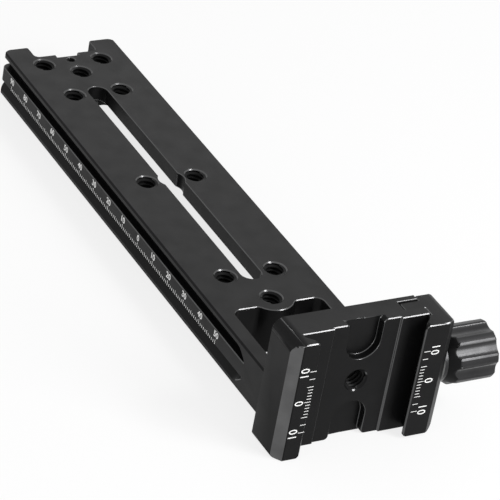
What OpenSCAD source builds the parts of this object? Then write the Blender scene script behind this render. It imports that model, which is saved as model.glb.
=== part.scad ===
// Vertical nodal rail: a slotted double dovetail rail with a quick release clamp
// standing across its end. The jaw on the right slides out as its knob is turned.
// X runs along the rail towards the clamp, Y across it towards the knob, Z up.
// The origin is the middle of the hole pattern, on the top face of the rail.

/* [Rail] */
// Length of the rail, from its ears to the back of the clamp
rail_length = 183; // [175:1:205]
// Width of the rail over its dovetails
rail_width = 38; // [37:0.5:42]
// Height of the rail
rail_height = 14.5; // [14:0.25:17]
// Distance from the ears to the middle of the hole pattern
ear_to_pattern = 80.6; // [79:0.1:84]
// Chamfer along the four long edges
edge_chamfer = 0.5; // [0.3:0.1:0.8]
// Upright edge of each dovetail, below its chamfer
dovetail_edge = 1; // [0.6:0.1:1.4]
// Depth of the dovetail grooves, which is also their rise at 45 degrees
groove_depth = 2.8; // [2:0.1:3.2]
// Upright wall at the bottom of each dovetail groove
groove_wall = 0.6; // [0.3:0.1:0.9]
// Distance from the rail's clamp end at which the groove cutter was lifted out
groove_stop = 22.7; // [18:0.1:26]
// Radius of the groove cutter
cutter_radius = 5.2; // [4.5:0.1:6]

/* [Ends of the rail] */
// Radius of the outer corners of the ears
ear_corner = 2.5; // [1:0.1:3.5]
// Radius of the inner corners of the ears
ear_inner_corner = 0.8; // [0.3:0.1:1.2]
// Width of the shallow notch between the ears
notch_width = 21; // [16:0.5:24]
// Depth of the shallow notch
notch_depth = 6; // [3:0.1:6.4]
// Radius in the corners of the shallow notch
notch_corner = 1.5; // [0.5:0.1:2]
// Width of the small notch in the middle of the shallow one
step_width = 7.4; // [5:0.1:9]
// Depth of the small notch beyond the shallow one
step_depth = 1.6; // [0.8:0.1:1.8]
// Diameter of the stop screw hole behind the small notch
stop_hole = 2.6; // [2:0.1:2.8]
// Distance from the small notch to the middle of the stop screw hole
stop_hole_step = 2; // [1.8:0.1:2.2]

/* [Threaded holes] */
// Distance between the rows of paired holes, of which there are as many as fit
row_pitch = 50.8; // [48:0.1:52]
// Distance between the two holes of a pair, across the rail
pair_spacing = 16; // [14:0.1:17]
// Distance from an outer row to the single hole beyond it
single_step = 12.7; // [12:0.1:13.5]
// Distance from the single hole at the ears to the end pair
end_pair_step = 6.2; // [6:0.1:6.4]
// Distance between the two holes of the end pair
end_pair_spacing = 19.6; // [18:0.1:21]
// Diameter of the camera screw threads
thread_diameter = 6.4; // [5.2:0.1:6.5]
// Width and depth of the countersink round each thread
thread_rim = 0.35; // [0.2:0.05:0.5]

/* [Slot, recess and window] */
// Width of the long slot
slot_width = 6.4; // [5.5:0.1:6.6]
// Diameter of the scallop at the middle of the slot
scallop_diameter = 8.2; // [7:0.1:9]
// Thickness of the web that the slot goes through
web_thickness = 4.9; // [3.5:0.1:6]
// Width of the recess under the web
recess_width = 25; // [22:0.5:27]
// Distance that the recess reaches past the single hole at the ears
recess_past_hole = 1.4; // [0.5:0.1:1.6]
// Thickness of the bar on the recess side of the other single hole
bar_recess_side = 3.5; // [3.4:0.1:4.5]
// Thickness of the bar on the window side of that hole
bar_window_side = 3.4; // [3.3:0.1:4]
// Radius of the round boss about each single hole
boss_radius = 6.6; // [5.5:0.1:7]
// Radius of the hollows beside each boss
boss_hollow = 1.8; // [1:0.1:2.2]
// Width of the window beside the clamp
window_width = 28.4; // [26:0.2:29]
// Corner radius of the recess and of the window
pocket_corner = 2.5; // [1.5:0.1:3]
// Least length of the window, which a further row of holes has to leave
least_window = 18; // [14:0.5:19]
// Thickness of the end wall that the clamp is screwed to
end_wall = 8.4; // [7:0.1:9]

/* [Clamp] */
// Thickness of the clamp, from its back to the faces of its jaws
clamp_depth = 14; // [13.5:0.1:16]
// Distance from the centre line to the outer side of the fixed jaw
fixed_side = 24.5; // [24:0.25:27]
// Distance from the centre line to the outer side of the moving jaw
moving_side = 25.5; // [25.2:0.1:26.5]
// Height of the clamp
clamp_height = 38; // [38:0.5:46]
// Depth of the channel between the jaws
channel_depth = 4.8; // [4.2:0.1:5.2]
// Further depth of the middle of the channel floor
floor_relief = 0.6; // [0.3:0.1:0.8]
// Width of the middle of the channel floor
floor_relief_width = 20.7; // [18:0.1:22]
// Distance from the centre line to the lip of the fixed jaw
fixed_lip = 17.1; // [16.8:0.1:17.4]
// Distance from the centre line to the lip of the moving jaw
moving_lip = 15.4; // [15.2:0.1:15.6]
// Overhang of each lip over the channel, at 45 degrees
lip_overhang = 2.9; // [2.5:0.1:3]
// Flat edge of each lip
lip_edge = 0.8; // [0.5:0.1:1]
// Width of the bevel on the outer edge of the fixed jaw
fixed_bevel_width = 2.35; // [1:0.05:2.4]
// Depth of the bevel on the outer edge of the fixed jaw
fixed_bevel_depth = 3; // [1:0.1:3]
// Width of the bevel on the outer edge of the moving jaw
moving_bevel_width = 2.7; // [1:0.1:3]
// Depth of the bevel on the outer edge of the moving jaw
moving_bevel_depth = 2; // [1:0.1:3]
// Radius of the top corner of the fixed jaw
fixed_top_corner = 4; // [2:0.1:4.5]
// Radius of the bottom corner of the fixed jaw
fixed_bottom_corner = 1; // [0.5:0.1:2]
// Radius of the outer corners of the moving jaw
moving_corner = 2.1; // [0.5:0.1:3]
// Radius at both ends of each lip
lip_corner = 1.5; // [0.5:0.1:2]
// Width of the round ended pockets in the channel floor
pocket_width = 10.3; // [8:0.1:11]
// Depth of these pockets below the middle of the channel floor
pocket_depth = 2.25; // [1:0.05:2.3]
// Distance from the centre of the clamp to the round end of each pocket
pocket_reach = 7.1; // [6:0.1:8]
// Radius at the mouth corners of each pocket
pocket_mouth = 1.3; // [0.5:0.1:1.6]

/* [Moving jaw] */
// Distance from the centre line to the end of the fixed part, under the jaw
parting = 19.1; // [18.9:0.05:19.2]
// Gap between the fixed part and the closed jaw
closed_gap = 0.4; // [0.3:0.05:0.5]
// Distance by which the moving jaw stands back at its top and bottom
jaw_inset = 0.45; // [0:0.05:0.6]
// Thickness of the jaw's guide tongue
tongue_thickness = 3.7; // [3:0.1:3.9]
// Distance from the back of the clamp to the tongue
tongue_back = 2.2; // [2:0.1:2.4]
// Length of the tongue
tongue_length = 6; // [5:0.1:6.2]
// Half height of the gap in the tongue that clears the clamping screw
tongue_gap = 6; // [5.5:0.1:7]
// Distance from the back of the clamp to the axis of the clamping screw
screw_back = 4.6; // [4.5:0.1:4.8]

/* [Knob] */
// Diameter of the knob over its ridges
knob_diameter = 17; // [16:0.2:20]
// Length of the grip
grip_length = 12.2; // [11:0.1:16]
// Length of the cone between the grip and the neck
cone_length = 3.4; // [3:0.1:5]
// Diameter of the neck against the washers
neck_diameter = 12.4; // [10:0.1:13]
// Chamfer on the outer end of the grip
knob_chamfer = 0.5; // [0.3:0.1:1.2]
// Thickness of the closed outer end of the knob
knob_cap = 2; // [1.2:0.1:3]
// Number of flutes round the grip
flute_count = 8; // [6:1:10]
// Radius of each flute
flute_radius = 3.7; // [3:0.1:4.5]
// Depth of each flute
flute_depth = 0.95; // [0.5:0.05:1.2]
// Turn of the first flute, in degrees down from the clamp's face
flute_start = 6.3; // [0:0.1:44]

/* [Clamping screw and bearings] */
// Diameter of the clamping screw
screw_diameter = 5; // [4.8:0.1:5.2]
// Pitch of its thread
screw_pitch = 0.8; // [0.7:0.05:1]
// Distance from the centre line to the tip of the screw
screw_tip = 5; // [4.9:0.05:5.4]
// Wall of the bush that the screw turns in
jaw_bush_wall = 1; // [0.8:0.05:1.1]
// Thickness of that bush's flange
bush_flange = 0.8; // [0.6:0.05:1]
// Diameter of that bush's flange
bush_flange_diameter = 8.4; // [8:0.1:9]
// Wall of the threaded bush in the fixed part
thread_bush_wall = 0.9; // [0.8:0.05:1]
// Length of the threaded bush
thread_bush_length = 9; // [7:0.1:9.2]
// Thickness of the plastic friction washer
friction_thickness = 0.8; // [0.5:0.05:1]
// Thickness of the steel thrust washer
thrust_thickness = 1.2; // [0.8:0.05:1.5]
// Outer diameter of both washers
washer_diameter = 14.1; // [12:0.1:15]
// Thickness of the retaining ring
ring_thickness = 0.6; // [0.4:0.05:0.7]
// Outer diameter of the retaining ring
ring_diameter = 7.2; // [6.8:0.1:7.4]
// Depth of the screw's groove that holds the retaining ring
ring_groove = 0.5; // [0.3:0.05:0.6]
// Diameter of the grub screws that hold the knob
grub_diameter = 3; // [2.5:0.1:3.2]
// Length of the grub screws
grub_length = 4; // [3:0.1:4.5]
// Share of the grip's length at which the grub screws sit
grub_place_share = 0.33; // [0.25:0.01:0.5]

/* [Return springs] */
// Wall between each spring's bore and the end of the clamp
spring_end_wall = 1.2; // [0.9:0.05:1.6]
// Outer diameter of the springs
spring_diameter = 2.6; // [2.2:0.1:2.8]
// Diameter of the spring wire
spring_wire = 0.45; // [0.3:0.05:0.5]
// Number of coils in each spring
spring_coils = 8; // [6:1:9]
// Depth of each spring's bore below the tongue slot
spring_bore_depth = 7.5; // [6:0.1:7.8]

/* [Mounting screws and dowels] */
// Distance of each mounting screw from the centre line
mount_screw_offset = 9; // [8.6:0.1:9.2]
// Depth of the mounting screws below the top of the rail
mount_screw_drop = 6.8; // [6.5:0.05:7]
// Diameter of the mounting screws
mount_screw_diameter = 5; // [4:0.1:5]
// Length of the mounting screws under their heads
mount_screw_length = 14; // [12:0.5:14.5]
// Diameter of their heads
mount_head_diameter = 8.5; // [7:0.1:9]
// Height of their heads
mount_head_height = 5; // [4:0.1:5.5]
// Width across the flats of their sockets
mount_socket = 4; // [3:0.1:4.5]
// Thickness of the split lock washers
lock_washer_thickness = 1.2; // [0.8:0.1:1.4]
// Width of the split in each lock washer
lock_washer_split = 0.7; // [0.4:0.1:1]
// Distance of each dowel from the centre line
dowel_offset = 4.2; // [3.6:0.1:4.4]
// Diameter of the dowels
dowel_diameter = 3; // [2:0.1:3]
// Length of the dowels
dowel_length = 10; // [8:0.5:11]

/* [Hidden] */
$fn = 72;

// Reach of every cut past the face that it opens
over = 1;
// Radial clearance of parts that turn or slide in each other
running_gap = 0.05;
// Clearance round parts that are pressed or screwed in
seat_gap = 0.02;
// Clearance round the screws in the end wall
bolt_gap = 0.15;
// Clearance past the ends of the tongue and of the clamping screw with the clamp shut
end_gap = 0.2;
// Fine chamfer that breaks the machined edges
edge_break = 0.3;
// Depth by which two arcs that blend into each other overlap where they meet
blend_bite = 0.005;
// Depth to which screw and dowel holes go past what they hold
hole_end_gap = 0.8;

// Places along the rail
ear_x = -ear_to_pattern;
clamp_x = ear_x + rail_length;
window_end_x = clamp_x - end_wall;
groove_end_x = clamp_x - groove_stop;
window_side_room = window_end_x - least_window - bar_window_side - single_step;
ear_side_room = ear_to_pattern - notch_depth - thread_diameter / 2 - end_pair_step - single_step;
row_count = 1 + floor(2 * min(window_side_room, ear_side_room) / row_pitch);
last_row_x = row_pitch * (row_count - 1) / 2;
single_x = last_row_x + single_step;
end_pair_x = -single_x - end_pair_step;
stop_hole_x = ear_x + notch_depth + step_depth + stop_hole_step;

// Places up and across the clamp, and distances from its back
clamp_bottom = -rail_height;
clamp_top = clamp_bottom + clamp_height;
clamp_mid = (clamp_top + clamp_bottom) / 2;
side_floor = clamp_depth - channel_depth;
middle_floor = side_floor - floor_relief;
pocket_floor = middle_floor - pocket_depth;
jaw_wall_y = parting + closed_gap;
tongue_tip_y = jaw_wall_y - tongue_length;
tongue_slot_y = tongue_tip_y - closed_gap - end_gap;
axis_x = clamp_x + screw_back;

// Places along the clamping screw
friction_y = moving_side;
thrust_y = friction_y + friction_thickness;
neck_y = thrust_y + thrust_thickness;
grip_y = neck_y + cone_length;
knob_end_y = grip_y + grip_length;
ring_y = jaw_wall_y - ring_thickness - running_gap;
ring_pocket_y = ring_y - closed_gap - running_gap;
thread_bush_y = ring_pocket_y - thread_bush_length;
spring_seat_y = tongue_slot_y - spring_bore_depth;
spring_bore = spring_diameter / 2 + edge_break;
spring_spread = clamp_height / 2 - spring_end_wall - spring_bore;

// Colours of the finishes
anodised = [0.06, 0.06, 0.065];
steel = [0.62, 0.63, 0.65];
black_steel = [0.1, 0.1, 0.11];
bronze = [0.72, 0.52, 0.28];
white_plastic = [0.9, 0.9, 0.87];

// A rectangle with round corners, from low to high
module round_plate(low, high, corner) {
    size = high - low;
    translate(low + [corner, 0]) square([size[0] - 2 * corner, size[1]]);
    translate(low + [0, corner]) square([size[0], size[1] - 2 * corner]);
    for (x = [low[0] + corner, high[0] - corner], y = [low[1] + corner, high[1] - corner])
        translate([x, y]) circle(r = corner);
}

// What is cut from a square outer corner at the origin, facing +X +Y, to round it
module corner_waste(corner) {
    difference() {
        translate([-corner, -corner]) square(corner + over);
        translate([-corner, -corner]) circle(r = corner);
    }
}

// The boss about a single hole, with a hollow on each side where it leaves the wall
module boss(wall) {
    reach = boss_radius + boss_hollow;
    hollow_x = wall + boss_hollow;
    hollow_y = sqrt(reach * reach - hollow_x * hollow_x);
    behind = wall - boss_radius;
    circle(r = boss_radius);
    for (side = [0, 1]) mirror([0, side]) difference() {
        polygon([[0, 0], [hollow_x, hollow_y], [behind, hollow_y], [behind, -boss_hollow]]);
        translate([hollow_x, hollow_y]) circle(r = boss_hollow + blend_bite);
    }
}

// A hole along Z from bottom to top, with a countersink at both ends
module countersunk_hole(diameter, rim, bottom, top) {
    wall = diameter / 2;
    mouth = wall + rim;
    rotate_extrude() polygon([[0, bottom - over], [mouth, bottom - over], [mouth, bottom], [wall, bottom + rim],
        [wall, top - rim], [mouth, top], [mouth, top + over], [0, top + over]]);
}

// The rail before it is cut: a bar with four chamfered edges
module bar_section() {
    half = rail_width / 2;
    inset = half - edge_chamfer;
    polygon([[-inset, 0], [-half, -edge_chamfer], [-half, edge_chamfer - rail_height],
        [-inset, -rail_height], [inset, -rail_height], [half, edge_chamfer - rail_height],
        [half, -edge_chamfer], [inset, 0]]);
}

// One dovetail groove under the top edge on the +Y side, with the round end that its cutter leaves
module dovetail_groove() {
    half = rail_width / 2;
    ledge = -(edge_chamfer + dovetail_edge + groove_depth + groove_wall);
    slope = ledge + groove_wall;
    rise = groove_depth + over;
    translate([ear_x - over, 0, 0]) rotate([90, 0, 90]) linear_extrude(groove_end_x - ear_x + over)
        polygon([[half - groove_depth, ledge], [half + over, ledge], [half + over, slope + rise],
            [half - groove_depth, slope]]);
    translate([groove_end_x, half - groove_depth + cutter_radius, 0]) rotate_extrude()
        polygon([[0, ledge], [cutter_radius, ledge], [cutter_radius, slope],
            [cutter_radius - rise, slope + rise], [0, slope + rise]]);
}

// The outline of the recess under the web, seen from above
module recess_outline() {
    difference() {
        round_plate([-single_x - recess_past_hole, -recess_width / 2],
            [single_x - bar_recess_side, recess_width / 2], pocket_corner);
        translate([-single_x, 0]) boss(-recess_past_hole);
        translate([single_x, 0]) mirror([1, 0]) boss(bar_recess_side);
    }
}

// The outline of the window beside the clamp, seen from above
module window_outline() {
    difference() {
        round_plate([single_x + bar_window_side, -window_width / 2],
            [window_end_x, window_width / 2], pocket_corner);
        translate([single_x, 0]) boss(bar_window_side);
    }
}

// The notches between the ears, seen from above
module notch_outline() {
    round_plate([ear_x - 2 * notch_corner - over, -notch_width / 2],
        [ear_x + notch_depth, notch_width / 2], notch_corner);
    translate([ear_x - over, -step_width / 2]) square([notch_depth + step_depth + over, step_width]);
    for (side = [-1, 1]) {
        translate([ear_x, side * rail_width / 2]) mirror([1, 0]) mirror([0, side < 0 ? 1 : 0])
            corner_waste(ear_corner);
        translate([ear_x, side * notch_width / 2]) mirror([1, 0]) mirror([0, side > 0 ? 1 : 0])
            corner_waste(ear_inner_corner);
    }
}

// The long slot, seen from above
module slot_outline() {
    for (end = [-1, 1]) translate([end * last_row_x, 0]) circle(d = slot_width);
    translate([-last_row_x, -slot_width / 2]) square([2 * last_row_x, slot_width]);
    circle(d = scallop_diameter);
}

module rail() {
    half_pair = pair_spacing / 2;
    color(anodised) difference() {
        translate([ear_x, 0, 0]) rotate([90, 0, 90]) linear_extrude(rail_length) bar_section();
        for (side = [0, 1], flip = [0, 1])
            translate([0, 0, -rail_height / 2]) mirror([0, side, 0]) mirror([0, 0, flip])
                translate([0, 0, rail_height / 2]) dovetail_groove();
        translate([0, 0, -rail_height - over]) linear_extrude(rail_height + 2 * over) notch_outline();
        translate([0, 0, -rail_height - over]) linear_extrude(rail_height + 2 * over) window_outline();
        translate([0, 0, -rail_height - over]) linear_extrude(rail_height - web_thickness + over)
            recess_outline();
        translate([0, 0, -rail_height]) linear_extrude(rail_height + over) slot_outline();
        for (row = [0:row_count - 1], y = [-half_pair, half_pair]) translate([row * row_pitch - last_row_x, y, 0])
            countersunk_hole(thread_diameter, thread_rim, -web_thickness, 0);
        for (x = [-single_x, single_x]) translate([x, 0, 0])
            countersunk_hole(thread_diameter, thread_rim, -rail_height, 0);
        for (side = [-1, 1]) translate([end_pair_x, side * end_pair_spacing / 2, 0])
            countersunk_hole(thread_diameter, thread_rim, -rail_height, 0);
        translate([stop_hole_x, 0, 0])
            countersunk_hole(stop_hole, edge_break, -rail_height, 0);
        for (side = [-1, 1]) {
            translate([window_end_x - over, side * mount_screw_offset, -mount_screw_drop])
                rotate([0, 90, 0]) cylinder(r = mount_screw_diameter / 2 + bolt_gap, h = end_wall + 2 * over);
            translate([window_end_x - pocket_corner, side * mount_screw_offset, -mount_screw_drop])
                rotate([0, 90, 0]) cylinder(r = mount_head_diameter / 2 + bolt_gap, h = pocket_corner);
            dowel_hole(side, clamp_x - dowel_length / 2 - hole_end_gap, dowel_length / 2 + hole_end_gap + over);
        }
    }
}

// The hole of one dowel, from x over the given length
module dowel_hole(side, x, length) {
    translate([x, side * dowel_offset, -mount_screw_drop]) rotate([0, 90, 0])
        cylinder(r = dowel_diameter / 2 + seat_gap, h = length);
}

// The lip, slope and wall that face the channel, as points from the jaw's face down to depth
// at, with the lip at y = 0 and the channel on the -Y side
function lip_points(depth) = [
    [clamp_depth, edge_break], [clamp_depth - edge_break, 0], [clamp_depth - lip_edge, 0],
    [clamp_depth - lip_edge - lip_overhang, lip_overhang], [depth, lip_overhang]];

// The outer side of a jaw, as points from its back to its face, with its side at y = 0 and a
// bevel of the given depth and width
function side_points(depth, width) = [
    [0, -edge_chamfer], [edge_chamfer, 0], [clamp_depth - depth, 0], [clamp_depth, -width]];

// Points moved to y, and turned over for the fixed jaw, which faces the other way
function placed(points, y, side) = [for (p = points) [p[0], side * (y + p[1])]];

// The fixed part of the clamp seen from above: fixed jaw, channel floor and tongue slot
module base_section() {
    relief = floor_relief_width / 2;
    bevel = side_points(fixed_bevel_depth, fixed_bevel_width);
    polygon(concat(placed(bevel, fixed_side, -1), placed(lip_points(side_floor), fixed_lip, -1),
        [[side_floor, -relief], [middle_floor, -relief], [middle_floor, relief], [side_floor, relief],
            [side_floor, parting - edge_break], [side_floor - edge_break, parting],
            [edge_break, parting], [0, parting - edge_break]]));
}

// The moving jaw seen from above, with its tongue
module jaw_section() {
    foot = side_floor + running_gap;
    tongue_face = tongue_back + tongue_thickness;
    bevel = side_points(moving_bevel_depth, moving_bevel_width);
    polygon(concat(placed(bevel, moving_side, 1), placed(lip_points(foot), moving_lip, 1),
        [[foot, jaw_wall_y], [tongue_face, jaw_wall_y], [tongue_face, tongue_tip_y],
            [tongue_back, tongue_tip_y], [tongue_back, jaw_wall_y], [edge_break, jaw_wall_y],
            [0, jaw_wall_y + edge_break]]));
}

// What is cut from one jaw, between the heights low and high, to round its corners and those of
// its lip and to break its edges; outwards is the side that it faces
module jaw_edge_waste(low, high, outwards, side_y, lip_y, low_corner, high_corner) {
    flip = outwards < 0 ? 1 : 0;
    break_side = 2 * edge_break * sin(45);
    for (end = [[high, high_corner, 0], [low, low_corner, 1]]) {
        translate([clamp_x - over, outwards * side_y, end[0]]) rotate([90, 0, 90])
            linear_extrude(clamp_depth + 2 * over) mirror([flip, 0]) mirror([0, end[2]])
                corner_waste(end[1]);
        translate([clamp_x + side_floor + edge_break, outwards * lip_y, end[0]]) rotate([90, 0, 90])
            linear_extrude(channel_depth) mirror([1 - flip, 0]) mirror([0, end[2]])
                corner_waste(lip_corner);
    }
    for (x = [clamp_x, clamp_x + clamp_depth], z = [low, high])
        translate([x, 0, z]) rotate([90, 45, 0])
            cube([break_side, break_side, 2 * (side_y + over)], center = true);
}

// A round ended pocket in the channel floor, open at the top of the clamp
module floor_pocket() {
    end = pocket_reach + pocket_width / 2;
    mouth = clamp_height / 2;
    half = pocket_width / 2;
    translate([pocket_floor, 0, 0]) rotate([90, 0, 90]) linear_extrude(clamp_depth) {
        translate([0, end]) circle(d = pocket_width);
        translate([-half, end]) square([pocket_width, mouth - end + over]);
        for (side = [0, 1]) mirror([side, 0]) difference() {
            translate([half - over, mouth - pocket_mouth]) square([pocket_mouth + over, pocket_mouth + over]);
            translate([half + pocket_mouth, mouth - pocket_mouth]) circle(r = pocket_mouth);
        }
    }
}

module clamp_base() {
    slot_back = tongue_back - running_gap;
    slot_thickness = tongue_thickness + 2 * running_gap;
    island = tongue_gap - closed_gap;
    base_hole_depth = mount_screw_length - lock_washer_thickness - end_wall + hole_end_gap;
    color(anodised) difference() {
        translate([clamp_x, 0, clamp_bottom]) linear_extrude(clamp_height) base_section();
        jaw_edge_waste(clamp_bottom, clamp_top, -1, fixed_side, fixed_lip, fixed_bottom_corner,
            fixed_top_corner);
        for (flip = [0, 1]) translate([clamp_x, 0, clamp_mid]) mirror([0, 0, flip]) {
            floor_pocket();
            translate([slot_back, tongue_slot_y, island])
                cube([slot_thickness, parting - tongue_slot_y + over, clamp_height / 2 - island + over]);
            translate([tongue_back + tongue_thickness / 2, spring_seat_y, spring_spread]) rotate([-90, 0, 0])
                cylinder(r = spring_bore, h = spring_bore_depth + over);
        }
        translate([clamp_x, 0, clamp_mid]) rotate([0, 90, 0])
            countersunk_hole(thread_diameter, thread_rim, 0, middle_floor);
        translate([axis_x, 0, clamp_mid]) rotate([-90, 0, 0]) {
            translate([0, 0, ring_pocket_y])
                cylinder(d = ring_diameter + 2 * edge_break, h = parting - ring_pocket_y + over);
            translate([0, 0, thread_bush_y])
                cylinder(r = screw_diameter / 2 + thread_bush_wall + seat_gap, h = thread_bush_length + over);
            translate([0, 0, screw_tip - closed_gap - end_gap])
                cylinder(d = screw_diameter + edge_break, h = thread_bush_y);
        }
        for (side = [-1, 1]) {
            translate([clamp_x - over, side * mount_screw_offset, -mount_screw_drop]) rotate([0, 90, 0])
                cylinder(r = mount_screw_diameter / 2 + seat_gap, h = base_hole_depth + over);
            dowel_hole(side, clamp_x - over, dowel_length / 2 + over);
        }
    }
}

module moving_jaw() {
    low = clamp_bottom + jaw_inset;
    high = clamp_top - jaw_inset;
    color(anodised) difference() {
        translate([clamp_x, 0, low]) linear_extrude(high - low) jaw_section();
        jaw_edge_waste(low, high, 1, moving_side, moving_lip, moving_corner, moving_corner);
        translate([clamp_x - over, tongue_tip_y - over, clamp_mid - tongue_gap])
            cube([side_floor + over, tongue_length + over, 2 * tongue_gap]);
        translate([axis_x, jaw_wall_y - over, clamp_mid]) rotate([-90, 0, 0])
            cylinder(r = screw_diameter / 2 + jaw_bush_wall + seat_gap, h = moving_side - jaw_wall_y + 2 * over);
        translate([axis_x, moving_side - bush_flange, clamp_mid]) rotate([-90, 0, 0])
            cylinder(r = bush_flange_diameter / 2 + seat_gap, h = bush_flange + over);
    }
}

// A ring about the clamping screw's axis, from y over the given length
module axis_ring(y, length, outer, inner) {
    translate([axis_x, y, clamp_mid]) rotate([-90, 0, 0]) difference() {
        cylinder(d = outer, h = length);
        translate([0, 0, -over]) cylinder(d = inner, h = length + 2 * over);
    }
}

module thread_bush() {
    color(steel) axis_ring(thread_bush_y, thread_bush_length,
        screw_diameter + 2 * thread_bush_wall, screw_diameter + 2 * running_gap);
}

// The flanged bush that carries the screw in the moving jaw
module jaw_bush() {
    bore = screw_diameter + 2 * running_gap;
    flange_y = moving_side - bush_flange;
    color(bronze) {
        axis_ring(jaw_wall_y, flange_y - jaw_wall_y, screw_diameter + 2 * jaw_bush_wall, bore);
        axis_ring(flange_y, bush_flange, bush_flange_diameter, bore);
    }
}

module friction_washer() {
    color(white_plastic) axis_ring(friction_y, friction_thickness, washer_diameter,
        screw_diameter + 2 * running_gap);
}

module thrust_washer() {
    color(steel) axis_ring(thrust_y, thrust_thickness, washer_diameter - edge_break,
        screw_diameter + 2 * seat_gap);
}

// The ring that snaps into the screw's groove behind the moving jaw
module retaining_ring() {
    opening = screw_diameter / 2;
    color(black_steel) difference() {
        axis_ring(ring_y, ring_thickness, ring_diameter, screw_diameter - 2 * ring_groove + 2 * seat_gap);
        translate([axis_x - opening / 2, ring_y - over, clamp_mid - ring_diameter])
            cube([opening, ring_thickness + 2 * over, ring_diameter]);
    }
}

// The clamping screw: its thread, its journal in the jaw and its end in the knob
module lead_screw() {
    radius = screw_diameter / 2;
    groove = radius - ring_groove;
    gap = seat_gap;
    end_y = knob_end_y - knob_cap - edge_break;
    color(steel) translate([axis_x, 0, clamp_mid]) rotate([-90, 0, 0]) rotate_extrude()
        polygon([[0, screw_tip], [radius - screw_pitch, screw_tip], [radius, screw_tip + screw_pitch],
            [radius, ring_y - gap], [groove, ring_y - gap], [groove, jaw_wall_y - running_gap + gap],
            [radius, jaw_wall_y - running_gap + gap], [radius, end_y - edge_break],
            [radius - edge_break, end_y], [0, end_y]]);
}

// The turned blank of the knob, as points of radius and length
module knob_blank() {
    radius = knob_diameter / 2;
    neck = neck_diameter / 2;
    bore = screw_diameter / 2 + seat_gap;
    bore_end = knob_end_y - knob_cap;
    rotate_extrude() polygon([[bore, neck_y], [neck, neck_y], [radius, grip_y],
        [radius, knob_end_y - knob_chamfer], [radius - knob_chamfer, knob_end_y], [0, knob_end_y],
        [0, bore_end], [bore, bore_end]]);
}

// A grub screw or its hole, pointing outwards at the given angle from the first flute
module grub_place(angle) {
    translate([axis_x, grip_y + grip_length * grub_place_share, clamp_mid]) rotate([0, angle + flute_start, 0])
        translate([0, 0, screw_diameter / 2 + 2 * seat_gap]) children();
}

back_grub = -90;
under_grub = 180;

module clamp_knob() {
    orbit = knob_diameter / 2 - flute_depth + flute_radius;
    color(anodised) difference() {
        translate([axis_x, 0, clamp_mid]) rotate([-90, 0, 0]) difference() {
            knob_blank();
            for (turn = [0:flute_count - 1]) rotate([0, 0, flute_start + turn * 360 / flute_count])
                translate([orbit, 0, neck_y]) cylinder(r = flute_radius, h = knob_end_y - neck_y + over);
        }
        for (angle = [back_grub, under_grub]) grub_place(angle)
            translate([0, 0, -over]) cylinder(r = grub_diameter / 2 + seat_gap, h = knob_diameter);
    }
}

module grub_screw(angle) {
    socket = grub_diameter / 2;
    color(black_steel) grub_place(angle) difference() {
        cylinder(d = grub_diameter, h = grub_length);
        translate([0, 0, grub_length - socket]) cylinder(d = socket / cos(30), h = socket + over, $fn = 6);
    }
}

module knob_grub_screw_back() { grub_screw(back_grub); }
module knob_grub_screw_under() { grub_screw(under_grub); }

// A socket head screw that holds the clamp to the rail's end wall
module mounting_screw(side) {
    radius = mount_head_diameter / 2;
    head_x = window_end_x - lock_washer_thickness;
    color(black_steel) translate([head_x, side * mount_screw_offset, -mount_screw_drop]) rotate([0, 90, 0])
        difference() {
            rotate_extrude() polygon([[0, -mount_head_height], [radius - edge_break, -mount_head_height],
                [radius, edge_break - mount_head_height], [radius, 0], [mount_screw_diameter / 2, 0],
                [mount_screw_diameter / 2, mount_screw_length - edge_break],
                [mount_screw_diameter / 2 - edge_break, mount_screw_length], [0, mount_screw_length]]);
            translate([0, 0, -mount_head_height - over])
                cylinder(d = mount_socket / cos(30), h = mount_head_height / 2 + over, $fn = 6);
        }
}

module mounting_screw_left() { mounting_screw(-1); }
module mounting_screw_right() { mounting_screw(1); }

// A split spring washer under the head of a mounting screw
module lock_washer(side) {
    color(steel) translate([window_end_x - lock_washer_thickness, side * mount_screw_offset, -mount_screw_drop])
        rotate([0, 90, 0]) difference() {
            cylinder(d = mount_head_diameter, h = lock_washer_thickness);
            translate([0, 0, -over])
                cylinder(r = mount_screw_diameter / 2 + bolt_gap, h = lock_washer_thickness + 2 * over);
            translate([-lock_washer_split / 2, 0, -over])
                cube([lock_washer_split, mount_head_diameter, lock_washer_thickness + 2 * over]);
        }
}

module lock_washer_left() { lock_washer(-1); }
module lock_washer_right() { lock_washer(1); }

// A dowel with chamfered ends, half in the rail and half in the clamp
module dowel_pin(side) {
    radius = dowel_diameter / 2;
    length = dowel_length - hole_end_gap;
    color(steel) translate([clamp_x - length / 2, side * dowel_offset, -mount_screw_drop])
        rotate([0, 90, 0]) rotate_extrude()
            polygon([[0, 0], [radius - edge_break, 0], [radius, edge_break], [radius, length - edge_break],
                [radius - edge_break, length], [0, length]]);
}

module dowel_pin_left() { dowel_pin(-1); }
module dowel_pin_right() { dowel_pin(1); }

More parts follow.
